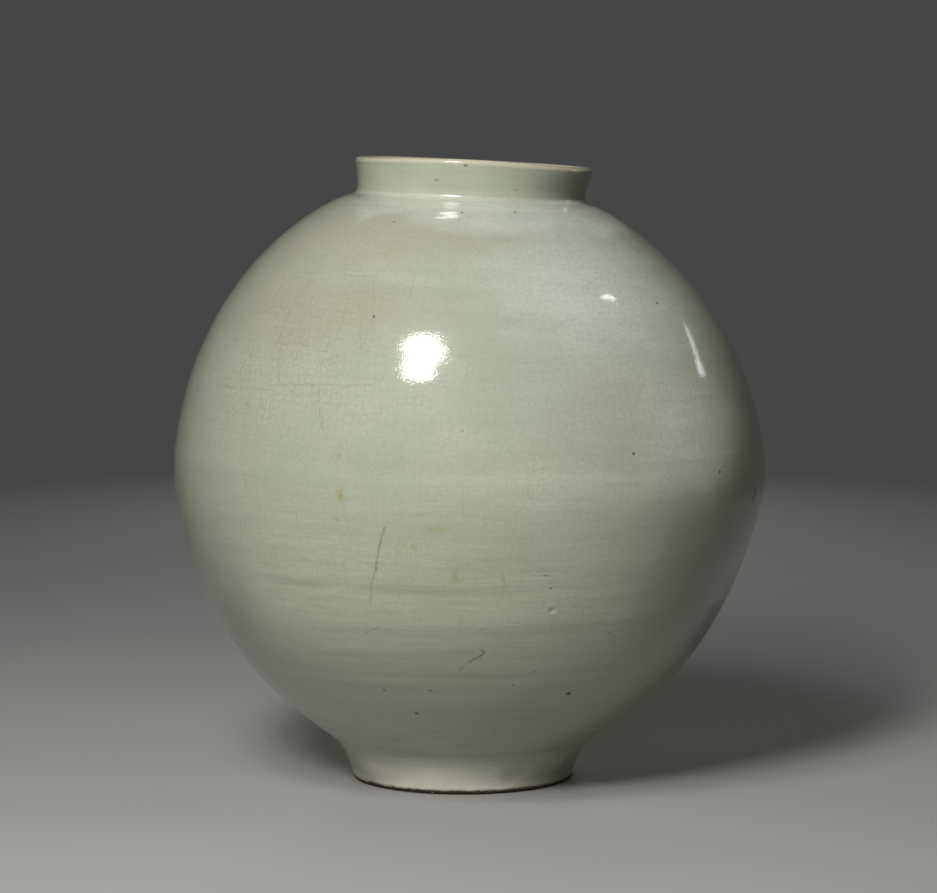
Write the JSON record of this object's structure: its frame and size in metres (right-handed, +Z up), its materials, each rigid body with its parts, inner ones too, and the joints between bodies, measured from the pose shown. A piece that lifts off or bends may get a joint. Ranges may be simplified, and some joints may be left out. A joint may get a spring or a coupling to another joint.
{
  "type": "round porcelain storage jar",
  "caption": "Large round glazed porcelain jar made of thrown bowls luted at the belly, with a short flared mouth collar and a tapered foot ring.",
  "frame": {"origin": "centre of the jar's box on the level surface that the foot ring stands on", "axes": "+Z up through the mouth, +X towards the side that the jar leans to, -Y towards the front"},
  "size_m": [0.4214, 0.4214, 0.4431],
  "materials": {
    "body_glaze": "pale grey-green clear glaze with a fine stained crackle, glossy",
    "collar_glaze": "pale grey-green clear glaze, cream where it runs thin on the lip, glossy",
    "slip_glaze": "luting slip under the same clear glaze, glossy",
    "foot_glaze": "thin warm glaze with a bare bearing edge, satin"
  },
  "bodies": {
    "root": {"foot_ring": "foot_glaze", "foot_luting_slip": "slip_glaze", "lower_bowl": "body_glaze", "belly_luting_slip": "slip_glaze", "upper_bowl": "body_glaze", "neck_luting_slip": "slip_glaze", "mouth_collar": "collar_glaze"}
  },
  "joints": []
}
